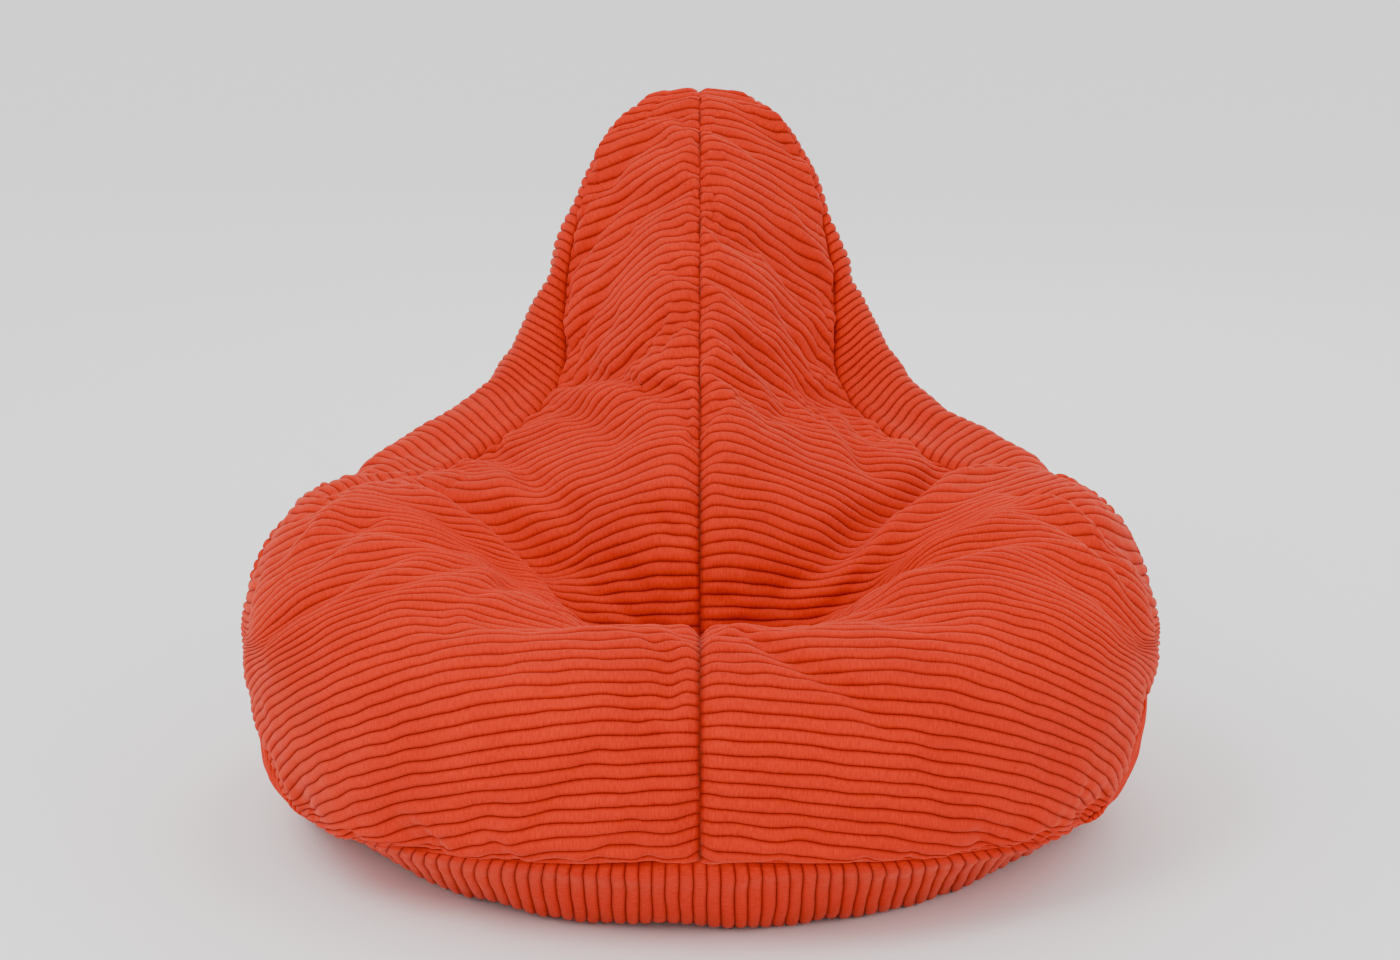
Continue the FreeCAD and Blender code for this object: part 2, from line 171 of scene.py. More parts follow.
# -------------------- curves and grids
def cubic(values, at):
    """Natural cubic spline through values, one at each whole number, read at the places `at`."""
    values = np.asarray(values, float)
    count = len(values)
    flat = values.reshape(count, -1)
    system = np.eye(count) * 4 + np.eye(count, k=1) + np.eye(count, k=-1)
    system[0, :2] = (1, 0)
    system[-1, -2:] = (0, 1)
    pull = np.zeros_like(flat)
    pull[1:-1] = 6 * (flat[2:] - 2 * flat[1:-1] + flat[:-2])
    bend = np.linalg.solve(system, pull)
    at = np.asarray(at, float)
    low = np.clip(np.floor(at).astype(int), 0, count - 2)
    t = (at - low)[:, None]
    s = 1 - t
    read = s * flat[low] + t * flat[low + 1]
    read += ((s ** 3 - s) * bend[low] + (t ** 3 - t) * bend[low + 1]) / 6
    return read.reshape((len(at),) + values.shape[1:])


def smooth_step(value):
    value = np.clip(value, 0, 1)
    return value * value * (3 - 2 * value)


def distance_along(points):
    steps = np.linalg.norm(np.diff(points, axis=0), axis=-1)
    return np.concatenate([np.zeros((1,) + steps.shape[1:]), np.cumsum(steps, axis=0)])


def read_at(places, along, points):
    """Points of a polyline at given places, where along grows from each of its points to the next."""
    return np.stack([np.interp(places, along, points[:, k]) for k in range(3)], axis=-1)


def at_shares(points, shares):
    """Points of a polyline at the given shares of its length."""
    along = distance_along(points)
    return read_at(shares, along / along[-1], points)


def at_widths(points, widths):
    """Points of a polyline that runs outwards in x, at the given values of x."""
    x = np.maximum.accumulate(points[:, 0])
    return read_at(widths, x + np.arange(len(x)) * 1e-9, points)


def straight_runs(corners, count):
    """Evenly spaced points along the straight runs between corners."""
    return at_shares(np.array(corners), np.linspace(0, 1, count))


def flat_length(points):
    return float(np.linalg.norm(np.diff(points, axis=0), axis=1).sum())


def unit(vectors):
    return vectors / np.maximum(np.linalg.norm(vectors, axis=-1, keepdims=True), 1e-12)


def mean_of_four(grid):
    return (grid[:-2, 1:-1] + grid[2:, 1:-1] + grid[1:-1, :-2] + grid[1:-1, 2:]) / 4


def nearest(tree, points):
    """The nearest place of a surface to each point, and the surface's direction there."""
    found = [tree.find_nearest(Vector(point)) for point in points.reshape(-1, 3)]
    return [np.array([hit[k] for hit in found]).reshape(points.shape) for k in range(2)]


class Skin:
    """The outer skin of the CAD cover, which every panel is laid on."""

    def __init__(self):
        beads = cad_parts["bead_fill"].data
        corners = [v.co for v in beads.vertices]
        self.fill = BVHTree.FromPolygons(corners, [face.vertices[:] for face in beads.polygons])
        corners, faces = [], []
        for name in COVER_NODES:
            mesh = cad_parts[name].data
            first = len(corners)
            corners.extend(v.co.copy() for v in mesh.vertices)
            for face in mesh.polygons:
                if self.fill.find_nearest(face.center)[3] > COVER_DEPTH:
                    faces.append([first + i for i in face.vertices])
        self.tree = BVHTree.FromPolygons(corners, faces)

    def onto(self, points):
        return nearest(self.tree, points)[0]

    def outwards(self, grid):
        """The way out at each point of a grid, evened out, and the same on both sides of a seam."""
        normal = nearest(self.tree, grid)[1]
        away = unit(grid - nearest(self.fill, grid)[0])
        facing = smooth_step((normal * away).sum(-1, keepdims=True) / 0.3 + 0.5)
        normal = unit(normal * facing + away * (1 - facing))
        for _ in range(10):
            for line in (normal[0], normal[-1], normal[:, 0], normal[:, -1]):
                line[1:-1] = unit(line[:-2] + line[1:-1] * 2 + line[2:])
        normal[..., 0] = np.where(np.abs(grid[..., 0]) < 1e-6, 0, normal[..., 0])
        edge = from_border(grid)[..., None] < 1e-9
        for _ in range(6):
            padded = np.pad(normal, ((1, 1), (1, 1), (0, 0)), mode="edge")
            normal = np.where(edge, normal, unit(normal + mean_of_four(padded)))
        return normal


def seam_line(skin, points, middle=False):
    """A dense, smooth line on the skin through a seam's points."""
    points = np.array(points, float)
    line = cubic(points, np.linspace(0, len(points) - 1, 240))
    line[1:-1] = skin.onto(line[1:-1])
    if middle:
        line[:, 0] = 0
    for _ in range(12):
        line[1:-1] = (line[:-2] + line[1:-1] * 2 + line[2:]) / 4
    return line


def quarter_turn(start, end, share, late):
    """A quarter turn from start to end: the axes marked in late are covered late, the others early."""
    turn = share[:, None] * math.pi / 2
    return start + np.subtract(end, start) * np.where(late, 1 - np.cos(turn), np.sin(turn))


def relaxed(skin, grid, rounds):
    """Even out a grid that lies on the skin, with its border held."""
    grid = grid.copy()
    grid[1:-1, 1:-1] = skin.onto(grid[1:-1, 1:-1])
    for _ in range(rounds):
        grid[1:-1, 1:-1] = skin.onto(mean_of_four(grid))
    for _ in range(4):
        grid[1:-1, 1:-1] = grid[1:-1, 1:-1] * 0.4 + mean_of_four(grid) * 0.6
    return grid


def normals_of(grid, skin_normal):
    """Normals of a grid, with the skin's own where its cells shrink to nothing."""
    normal = np.cross(np.gradient(grid, axis=1), np.gradient(grid, axis=0))
    if (normal * skin_normal).sum() < 0:
        normal = -normal
    size = np.linalg.norm(normal, axis=2, keepdims=True)
    sure = smooth_step(size / np.median(size) / 0.35)
    sure = sure * ((normal * skin_normal).sum(-1, keepdims=True) > 0)
    sure = sure * smooth_step(from_border(grid) / 0.025)[..., None]
    return unit(unit(normal) * sure + skin_normal * (1 - sure))


# -------------------- folds and cloth
def trimmed(points):
    """Draw in the shoulders and the tops of the arms, and round the front of the foot."""
    points = points.copy()
    x, y, z = points[..., 0], points[..., 1], points[..., 2]
    slim = sum(np.where(x < 0, left, right) * np.exp(-((z - height) / reach) ** 2)
               for height, reach, left, right in DRAWN_IN)
    outer = np.sqrt((x / 0.385) ** 2 + ((y + 0.05) / 0.40) ** 2)
    rise = FOOT_LIFT * smooth_step((outer - 0.78) / 0.2) * np.clip(1 - z / 0.085, 0, 1)
    points[..., 2] = z + rise * smooth_step((-0.02 - y) / 0.25)
    points[..., 0] = x * (1 - slim)
    return points


def stroke(skin, points, line, width, depth):
    """A fold: a gentle ridge or groove along a line, fading out at its ends."""
    line = np.array(line, float)
    dense = skin.onto(cubic(line, np.linspace(0, len(line) - 1, 40)))
    best = np.full(points.shape[:-1], 1e9)
    share = np.zeros(points.shape[:-1])
    for k, spot in enumerate(dense):
        away = ((points - spot) ** 2).sum(-1)
        closer = away < best
        best = np.where(closer, away, best)
        share = np.where(closer, k / (len(dense) - 1), share)
    fade = smooth_step(np.minimum(share, 1 - share) / 0.3 + 0.15)
    return depth * np.exp(-best / width ** 2) * fade


def from_border(grid):
    """Distance of each point of a grid from the nearest of its four borders, measured along its lines."""
    left = distance_along(np.swapaxes(grid, 0, 1)).T
    down = distance_along(grid)
    return np.minimum(np.minimum(left, left[:, -1:] - left), np.minimum(down, down[-1:] - down))


def with_folds(skin, grid, normal, strokes, sway, seed):
    """Raise and sink a coarse grid along its folds, and let its wales sway sideways."""
    height = np.zeros(grid.shape[:-1])
    for line, width, depth in strokes:
        height += stroke(skin, grid, line, width, depth)
    inside = smooth_step(from_border(grid) / 0.03)
    height += smooth_noise(grid, 0.17, seed) * 0.0022 + smooth_noise(grid, 0.06, seed + 1) * 0.0011
    high = smooth_step((grid[..., 2] - 0.235) / 0.05)
    drift = smooth_noise(grid, 0.10, seed + 2) * sway * (0.12 + 0.88 * high)
    across = unit(np.gradient(grid, axis=0))
    return grid + normal * (height * inside)[..., None] + across * (drift * inside)[..., None]


def settled(name, grid, skin_normal, growth):
    """Cloth simulation of one panel: sewn down at its border, blown out by the beads, and a little
    too large, so that it wrinkles."""
    piece = grid_object(name, grid, {})
    ways = skin_normal.reshape(-1, 3)
    face_outwards(piece, len(piece.data.polygons) // 2, ways[len(ways) // 2])
    border = np.ones(grid.shape[:2], bool)
    border[1:-1, 1:-1] = False
    pin = piece.vertex_groups.new(name="sewn")
    pin.add([int(k) for k in np.flatnonzero(border)], 1.0, "REPLACE")
    cloth = piece.modifiers.new("cloth", "CLOTH")
    for key, value in CLOTH.items():
        setattr(cloth.settings, key, value)
    cloth.settings.vertex_group_mass = "sewn"
    cloth.settings.shrink_min = -growth
    cloth.settings.effector_weights.gravity = 0
    cloth.collision_settings.use_collision = False
    cloth.point_cache.frame_start = 1
    cloth.point_cache.frame_end = CLOTH_FRAMES
    for moment in range(1, CLOTH_FRAMES + 1):
        bpy.context.scene.frame_set(moment)
    seen = piece.evaluated_get(bpy.context.evaluated_depsgraph_get())
    spots = vertex_values(seen.data, "co")
    mesh = piece.data
    bpy.data.objects.remove(piece)
    bpy.data.meshes.remove(mesh)
    bpy.context.scene.frame_set(1)
    moved = spots.reshape(grid.shape) - grid
    size = np.linalg.norm(moved, axis=2, keepdims=True)
    return grid + moved / np.maximum(size, 1e-9) * CLOTH_REACH * np.tanh(size / CLOTH_REACH)


# -------------------- corduroy panels
def wale_rows(count, offset):
    """Places of the mesh rows, counted in wales, with most of them beside the grooves."""
    places = [k + offset + p for k in range(-1, count + 1) for p in RIB_PLACES]
    places = sorted({round(u, 6) for u in places if 0 < u < count} | {0.0, float(count)})
    return np.array(places)


def smooth_noise(points, size, seed):
    """A smooth random value in about -1..1 at each point, from a few sine waves."""
    random = np.random.default_rng(seed)
    value = np.zeros(points.shape[:-1])
    for _ in range(10):
        direction = random.normal(size=3)
        direction = direction / np.linalg.norm(direction) * (2 * math.pi / size) * random.uniform(0.6, 1.5)
        value += np.sin(points @ direction + random.uniform(0, 2 * math.pi))
    return value / 3.2


def grid_faces(rows, columns, first=0):
    index = np.arange(rows * columns).reshape(rows, columns) + first
    return np.stack([index[:-1, :-1], index[:-1, 1:], index[1:, 1:], index[1:, :-1]], axis=-1)


def mesh_object(name, points, quads, attributes):
    """A smooth-shaded mesh of quads, with one value of each attribute per point."""
    points = points.reshape(-1, 3)
    quads = quads.reshape(-1, 4)
    mesh = bpy.data.meshes.new(name)
    mesh.vertices.add(len(points))
    mesh.vertices.foreach_set("co", points.reshape(-1).astype(np.float32))
    mesh.loops.add(quads.size)
    mesh.loops.foreach_set("vertex_index", quads.reshape(-1).astype(np.int32))
    mesh.polygons.add(len(quads))
    mesh.polygons.foreach_set("loop_start", np.arange(0, quads.size, 4, dtype=np.int32))
    mesh.polygons.foreach_set("loop_total", np.full(len(quads), 4, dtype=np.int32))
    mesh.update()
    mesh.validate()
    for key, values in attributes.items():
        layer = mesh.attributes.new(key, "FLOAT", "POINT")
        layer.data.foreach_set("value", values.reshape(-1).astype(np.float32))
    mesh.shade_smooth()
    piece = bpy.data.objects.new(name, mesh)
    bpy.context.scene.collection.objects.link(piece)
    return piece


def vertex_values(mesh, key):
    values = np.empty(len(mesh.vertices) * 3)
    mesh.vertices.foreach_get(key, values)
    return values.reshape(-1, 3)


def grid_object(name, grid, attributes):
    return mesh_object(name, grid, grid_faces(*grid.shape[:2]), attributes)


def face_outwards(piece, cell, outwards):
    """Turn all faces over if the given one looks inwards."""
    if piece.data.polygons[cell].normal.dot(Vector(outwards)) < 0:
        piece.data.flip_normals()


def welded(piece):
    """Join points that lie on each other, which drops the faces that a slanting edge cuts off."""
    shape = bmesh.new()
    shape.from_mesh(piece.data)
    bmesh.ops.remove_doubles(shape, verts=shape.verts, dist=2e-6)
    shape.to_mesh(piece.data)
    shape.free()
    return piece


def with_hem(grid, normal, depth):
    """Add a border that turns in behind each edge, as a seam allowance does."""
    full = np.pad(grid, ((1, 1), (1, 1), (0, 0)), mode="edge")
    back = np.pad(normal, ((1, 1), (1, 1), (0, 0)), mode="edge")
    deep = np.pad(depth, 1, mode="edge")[..., None]
    border = np.ones(full.shape[:2], bool)
    border[1:-1, 1:-1] = False
    full[border] -= (back * deep)[border]
    return full


def resampled(values, begin, places, columns):
    """Read a coarse grid at the places of the wales, which begin further in where a seam cuts them off."""
    count = len(values) - 1
    shares = np.linspace(0, 1, columns)
    shares = shares - np.sin(shares * 2 * math.pi) * 0.03
    fine = cubic(np.swapaxes(values, 0, 1), shares * (values.shape[1] - 1))
    fine = cubic(np.swapaxes(fine, 0, 1), np.linspace(0, count, count * 8 + 1))
    start = begin * shares ** 1.6
    along = np.clip((places[:, None] - start) / (count - start), 0, 1) * count * 8
    low = np.clip(np.floor(along).astype(int), 0, count * 8 - 1)
    part = (along - low)[..., None]
    column = np.arange(columns)[None, :]
    read = fine[low, column] * (1 - part) + fine[low + 1, column] * part
    return read, np.maximum(places[:, None], start)


def corduroy_panel(name, coarse, normal, columns, offset, seed, begin=0.0, sink=0.0, zip_edge=None):
    """A panel whose wales run along the grid's rows; coarse has one row of points per wale."""
    wales = len(coarse) - 1
    places = wale_rows(wales, offset)
    random = np.random.default_rng(seed)
    both, counted = resampled(np.concatenate([coarse, normal], axis=2), begin, places, columns)
    grid, normal = both[..., :3], unit(both[..., 3:])

    from_start = distance_along(np.swapaxes(grid, 0, 1)).T
    to_end = from_start[:, -1:] - from_start
    rim = from_border(grid)
    inside = smooth_step(rim / 0.02)
    roomy = smooth_step((from_start + to_end) / 0.045)
    across = unit(np.gradient(both[..., :3], axis=0) + normal * 1e-9)
    grid = grid + across * (smooth_noise(grid, 0.05, seed + 1) * 0.0007 * inside)[..., None]

    phase = np.mod(counted - offset, 1.0)
    rib = np.sqrt(np.clip(1 - (2 * phase - 1) ** 2, 0, 1))
    height = RIB_HEIGHT * (1 + random.normal(size=wales + 2) * 0.06)
    tall = height[np.clip(np.floor(counted - offset).astype(int) + 1, 0, wales + 1)]
    ends = np.clip(np.minimum(from_start, to_end) / 0.006, 0, 1)
    ends = np.sqrt(1 - (1 - ends) ** 2)
    soft = 1 if zip_edge is None else 1 - 0.55 * zip_edge(grid)
    lift = rib * tall * (0.25 + 0.75 * ends) - sink
    lift = lift - SEAM_TUCK * soft * (0.4 + 0.6 * roomy) * np.exp(-(rim / SEAM_REACH) ** 2)
    lift = lift + smooth_noise(grid, 0.03, seed + 3) * 0.0004 * inside
    lift = lift - RIB_HEIGHT * np.clip(-normal[..., 2] * 1.4 - 0.4, 0, 1)
    shaped = grid + normal * lift[..., None]
    hem = HEM * (0.2 + 0.8 * roomy)
    hem = hem if zip_edge is None else hem * (1 - 0.75 * zip_edge(grid))
    shaped = with_hem(shaped, normal, hem)
    shaped[..., 2] = np.maximum(shaped[..., 2], 0)

    values = {
        # The rib value also carries painted shade: it drops towards the ends of the wales at the seams, so
        # the colour darkens there as well as in the grooves.
        "rib": np.pad(rib * (0.3 + 0.7 * ends), 1, mode="edge"),
        "along": np.pad(from_start, 1, mode="edge"),
        "across": np.pad(counted * WALE, 1, mode="edge"),
    }
    piece = grid_object(name, shaped, values)
    row, column = len(shaped) // 2, shaped.shape[1] // 2
    face_outwards(piece, row * (shaped.shape[1] - 1) + column, normal[row, column])
    return welded(piece)


def mirrored(points, side):
    return points * np.array((side, 1, 1))


def both_sides(half):
    """The right half, which begins at x = 0, with its mirror image before it."""
    return np.concatenate([mirrored(half[:0:-1], -1), half])


def front_grid(skin):
    """Wales that run outwards from the middle seam, from the base up to the crown."""
    middle = seam_line(skin, [(0, y, z) for y, z in MIDDLE], middle=True)
    seam = seam_line(skin, FRONT_SEAM)
    wales = round(flat_length(middle) / WALE)
    shares = np.linspace(0, 1, wales + 1)
    starts, ends = at_shares(middle, shares), at_shares(seam, np.interp(shares, *FRONT_WALES))
    across = np.linspace(0, 1, 48)
    bowed = np.stack([quarter_turn(a, b, across, UP_LATE) for a, b in zip(starts, ends)])
    direct = starts[:, None] + (ends - starts)[:, None] * across[:, None]
    high = smooth_step((shares - 0.45) / 0.15)[:, None, None]
    grid = bowed * (1 - high) + direct * high
    grid[0, :, 2] = MIDDLE[0][1] - BASE_SEAM_DROP * (grid[0, :, 0] / FRONT_SEAM[0][0]) ** 2
    grid[0, 1:-1] = skin.onto(grid[0, 1:-1])
    grid[-1, 1:-1] = skin.onto(grid[-1, 1:-1])
    return relaxed(skin, grid, 24)


def side_grid(skin):
    """Wales that run from the front seam down to the base, and further up back to the back panel."""
    seam = seam_line(skin, FRONT_SEAM)
    foot = seam_line(skin, BASE_SEAM)
    far = np.concatenate([foot[:-1], seam_line(skin, BACK_SEAM)[::-1]])
    wales = round((flat_length(seam) + flat_length(far)) / 2 / WALE)
    shares = np.linspace(0, 1, wales + 1)
    down = np.linspace(0, 1, 44)
    starts, ends = at_shares(seam, shares), at_shares(far, np.interp(shares, *SIDE_WALES))
    grid = np.stack([quarter_turn(a, b, down, DOWN_LATE) for a, b in zip(starts, ends)])
    return relaxed(skin, grid, 40)


def zip_window(points):
    """1 beside the zip at the rear and 0 away from it."""
    near = smooth_step((ZIP_HALF_WIDTH + 0.002 - np.abs(points[..., 0])) / 0.010)
    near = near * smooth_step((0.03 - np.abs(points[..., 2] - ZIP_HEIGHT)) / 0.008)
    return near * (points[..., 1] > 0.3)


def rear_edge(way):
    """The edge of the cover along the rear, above (way = 1) or below (way = -1) the zip."""
    line = cubic([(x, y, ZIP_HEIGHT) for x, y in REAR_EDGE], np.linspace(0, len(REAR_EDGE) - 1, 120))
    step = way * ZIP_OPENING * zip_window(line)
    line[:, 2] += step
    line[:, 1] += REAR_LEAN * step
    return line


def back_grid(skin):
    """Wales that run from the crown down to the zip."""
    back = seam_line(skin, BACK_SEAM)
    crown = np.linspace((0, .323, .636), BACK_SEAM[0], 20)
    top = np.concatenate([skin.onto(crown)[:-1], back])
    foot = rear_edge(1)
    wales = round(foot[-1, 0] / WALE)
    widths = np.linspace(0, 1, wales + 1) * foot[-1, 0]
    starts, ends = at_widths(top, widths), at_widths(foot, widths)
    starts[0, 0] = 0
    down = np.linspace(0, 1, 44)
    half = np.stack([quarter_turn(a, b, down, DOWN_LATE) for a, b in zip(starts, ends)])
    half[0] = skin.onto(half[0])
    half[0, :, 0] = 0
    return relaxed(skin, both_sides(half), 60)


def base_grid(skin):
    """Wales that run from the front's base seam under the bag to the zip."""
    arc = np.linspace(0, 1, 160)
    front = quarter_turn((0, *MIDDLE[0]), FRONT_SEAM[0], arc, UP_LATE)
    front[:, 2] = MIDDLE[0][1] - BASE_SEAM_DROP * (front[:, 0] / FRONT_SEAM[0][0]) ** 2
    front[1:-1] = skin.onto(front[1:-1])
    foot = seam_line(skin, BASE_SEAM)
    widest = int(np.argmax(foot[:, 0]))
    rear = rear_edge(-1)
    fore = np.concatenate([front[:-1], foot[:widest + 1]])
    aft = np.concatenate([rear[:-1], foot[widest:][::-1]])
    edge = foot[widest, 0]
    wales = round(edge / WALE)
    widths = np.linspace(0, 1, wales + 1) * edge
    starts, ends = at_widths(fore, widths), at_widths(aft, widths)
    starts[0, 0] = ends[0, 0] = 0
    under = np.linspace(0, 1, 80)[:, None]
    half = np.stack([a + (b - a) * under for a, b in zip(starts, ends)])
    half[..., 2] *= 1 - np.clip(np.minimum(under, 1 - under) / 0.08, 0, 1)[:, 0]
    return relaxed(skin, both_sides(half), 12)


class Panels:
    """The coarse grids of all panels, with their normals, folded and settled."""

    def __init__(self, skin):
        front, side = front_grid(skin), side_grid(skin)
        self.shaped = {}
        for name, way, strokes in (("left", -1, FOLDS_LEFT), ("right", 1, FOLDS_RIGHT)):
            flank = [(mirrored(np.array(line), way), width, depth) for line, width, depth in FOLDS_SIDE]
            self.add(skin, "front_" + name, mirrored(front, way), strokes, 0.0026, 20 + way, 0.04)
            self.add(skin, "side_" + name, mirrored(side, way), flank, 0.0020, 30 + way, 0.03)
        self.add(skin, "back", back_grid(skin), FOLDS_BACK, 0.0020, 40, 0.03)
        self.add(skin, "base", base_grid(skin), (), 0.0008, 50, 0)

    def add(self, skin, name, grid, strokes, sway, seed, growth):
        skin_normal = skin.outwards(grid)
        grid = trimmed(with_folds(skin, grid, skin_normal, strokes, sway, seed))
        if growth:
            grid = settled(name, grid, skin_normal, growth)
        self.shaped[name] = (grid, normals_of(grid, skin_normal))


def finish_piece(piece, material, body, slot, *nodes, fill=None):
    """Give a piece its material and its body, and hide the CAD nodes that it replaces; fill is not used."""
    piece.data.materials.append(material)
    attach(piece, body)
    if nodes:
        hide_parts(*nodes)


def cover(panels, cloth):
    pieces = []
    shaped = panels.shaped
    for k, name in enumerate(("left", "right")):
        front, side = shaped["front_" + name], shaped["side_" + name]
        front = corduroy_panel("front_cover_" + name, *front, 104, k / 2, 60 + k, FRONT_CUT)
        side = corduroy_panel("side_cover_" + name, *side, 92, 0.0, 70 + k)
        pieces += [(front, "front_panel_" + name), (side, "side_panel_" + name)]
    back = corduroy_panel("back_cover", *shaped["back"], 110, 0.5, 80, zip_edge=zip_window)
    base = corduroy_panel("base_cover", *shaped["base"], 120, 0.5, 90, sink=0.002, zip_edge=zip_window)
    pieces += [(back, "back_panel"), (base, "base_panel")]
    for piece, node in pieces:
        finish_piece(piece, cloth, "bag", "corduroy", node, fill=FIRM)


# -------------------- liner and beads
def doubled(grid):
    """Read a coarse grid at twice as many rows and columns."""
    for _ in range(2):
        count = grid.shape[1]
        grid = cubic(np.swapaxes(grid, 0, 1), np.linspace(0, count - 1, count * 2 - 1))
    return grid


def liner_patch(grid, normal, seed):
    """A part of the liner, behind one panel of the cover, with the small creases of loose cloth."""
    grid, normal = doubled(grid), doubled(normal)
    crease = smooth_noise(grid, 0.05, seed) * 0.0012 + smooth_noise(grid, 0.02, seed + 1) * 0.0006
    edge = smooth_step(from_border(grid) / 0.02)
    depth = LINER_DEPTH * (1 + zip_window(grid))
    return grid + unit(normal) * (crease * edge - depth)[..., None]


def liner_piece(name, patches):
    """Sew patches into one piece, leaving the slit for the liner's zip."""
    points, quads, first = [], [], 0
    for patch in patches:
        faces = grid_faces(*patch.shape[:2], first).reshape(-1, 4)
        middle = patch.reshape(-1, 3)[faces - first].mean(axis=1)
        slit = (np.abs(middle[:, 0]) < LINER_ZIP_HALF_WIDTH) & (middle[:, 1] > 0.3)
        slit &= np.abs(middle[:, 2] - LINER_ZIP_HEIGHT) < 0.009
        quads.append(faces[~slit])
        points.append(patch.reshape(-1, 3))
        first += len(points[-1])
    return welded(mesh_object(name, np.concatenate(points), np.concatenate(quads), {}))


def liner(panels, calico):
    shaped = panels.shaped
    back = liner_patch(*shaped["back"], 110)
    middle = len(back) // 2
    for name, half in (("left", back[:middle + 1]), ("right", back[middle:])):
        front = liner_patch(*shaped["front_" + name], 120)
        side = liner_patch(*shaped["side_" + name], 130)
        piece = liner_piece("liner_cloth_" + name, [front, side, half])
        finish_piece(piece, calico, "bag", "liner_cloth", "liner_" + name, fill=FIRM)
    base = liner_patch(*shaped["base"], 140)
    base[..., 2] = np.maximum(base[..., 2], 0.007)
    # Behind the cover's zip the base reaches up to the back
    rear, edge = back[:, -1], base[:, -1]
    rear = rear[np.argsort(rear[:, 0])]
    over = read_at(edge[:, 0], rear[:, 0], rear)
    beside = np.abs(edge[:, :1]) > rear[-1, 0]
    base = np.concatenate([base, np.where(beside, edge, over)[:, None]], axis=1)
    piece = liner_piece("liner_cloth_base", [base])
    finish_piece(piece, calico, "bag", "liner_cloth", "liner_base", fill=FIRM)


def kept_behind(panels, spots, depth):
    """Move points that are less than a given depth behind the cover straight inwards."""
    corners = np.concatenate([grid.reshape(-1, 3) for grid, _ in panels.shaped.values()])
    normals = np.concatenate([normal.reshape(-1, 3) for _, normal in panels.shaped.values()])
    tree = KDTree(len(corners))
    for k, corner in enumerate(corners):
        tree.insert(corner, k)
    tree.balance()
    near = np.array([tree.find(spot)[1] for spot in spots])
    lack = depth - ((corners[near] - spots) * normals[near]).sum(-1)
    return spots - normals[near] * np.clip(lack, 0, 0.04)[:, None]


def beads(panels, material):
    """The heap of beads, with a slightly lumpy surface that gives way under the cover's folds."""
    piece = bpy.data.objects.new("bead_heap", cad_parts["bead_fill"].data.copy())
    piece.data.materials.clear()
    bpy.context.scene.collection.objects.link(piece)
    remesh = piece.modifiers.new("remesh", "REMESH")
    remesh.mode = "VOXEL"
    remesh.voxel_size = 0.009
    mesh = bpy.data.meshes.new_from_object(piece.evaluated_get(bpy.context.evaluated_depsgraph_get()))
    piece.modifiers.clear()
    piece.data = mesh
    mesh.materials.clear()
    spots, ways = vertex_values(mesh, "co"), vertex_values(mesh, "normal")
    lumps = smooth_noise(spots, 0.04, 150) * 0.001 + smooth_noise(spots, 0.015, 151) * 0.0006 - 0.003
    spots = trimmed(spots + ways * lumps[:, None])
    for _ in range(6):
        depth = LINER_DEPTH * (1 + zip_window(spots)) + BEADS_BEHIND_LINER
        spots = kept_behind(panels, spots, depth)
    mesh.vertices.foreach_set("co", spots.reshape(-1))
    mesh.shade_smooth()
    finish_piece(piece, material, "bag", "beads", "bead_fill", fill=FIRM)


# -------------------- handle, patch, label and stitches
def on_head(points):
    """Place points drawn flat (x across, y down the back, z outwards) on the back of the head."""
    turn = math.radians(HANDLE_TILT - 90)
    y = points[..., 1] * math.cos(turn) - points[..., 2] * math.sin(turn)
    z = points[..., 1] * math.sin(turn) + points[..., 2] * math.cos(turn)
    return np.stack([points[..., 0], y, z], axis=-1) + np.array(HANDLE_ORIGIN)


def loop_line(count):
    """The middle line of the strap's U, and its sideways direction, both drawn flat."""
    bow = math.pi * HANDLE_LEG_X
    total = 2 * HANDLE_LEG + bow
    line, sideways = [], []
    for s in np.linspace(0, total, count):
        if s < HANDLE_LEG:
            line.append((HANDLE_LEG_X, s))
            sideways.append((1, 0))
        elif s < HANDLE_LEG + bow:
            turn = (s - HANDLE_LEG) / HANDLE_LEG_X
            line.append((HANDLE_LEG_X * math.cos(turn), HANDLE_LEG + HANDLE_LEG_X * math.sin(turn)))
            sideways.append((math.cos(turn), math.sin(turn)))
        else:
            line.append((-HANDLE_LEG_X, total - s))
            sideways.append((-1, 0))
    return np.array(line), np.array(sideways)


def carry_handle(cloth):
    line, sideways = loop_line(150)
    line[:, 1] = np.maximum(line[:, 1], 0.0004)
    around = np.linspace(0, 2 * math.pi, 49)
    half, thick = HANDLE_WIDTH / 2, HANDLE_THICK / 2
    wide = np.sign(np.cos(around)) * np.abs(np.cos(around)) ** 0.55 * half
    wale = np.abs(np.sin(wide / half * math.pi))
    high = np.sign(np.sin(around)) * np.abs(np.sin(around)) ** 0.5 * (thick * 0.72 + wale * thick * 0.28)
    taper = np.minimum(np.arange(150), np.arange(150)[::-1])
    taper = np.where(taper == 0, 0.02, np.where(taper == 1, 0.8, 1.0))
    grid = np.zeros((150, 49, 3))
    grid[..., :2] = line[:, None] + sideways[:, None] * (wide[None, :] * taper[:, None])[..., None]
    grid[..., 2] = thick + high[None, :] * taper[:, None]
    length = np.broadcast_to(distance_along(line)[:, None], grid.shape[:2])
    # The rib value carries painted shade: the strap's colour is darker in the grooves of its wales, at its
    # middle and along its edges.
    values = {"rib": np.broadcast_to(wale, grid.shape[:2]), "along": length,
              "across": np.broadcast_to(wide + half, grid.shape[:2])}
    piece = welded(grid_object("carry_strap", on_head(grid), values))
    finish_piece(piece, cloth, "handle", "corduroy", "carry_handle", fill=FLAT)


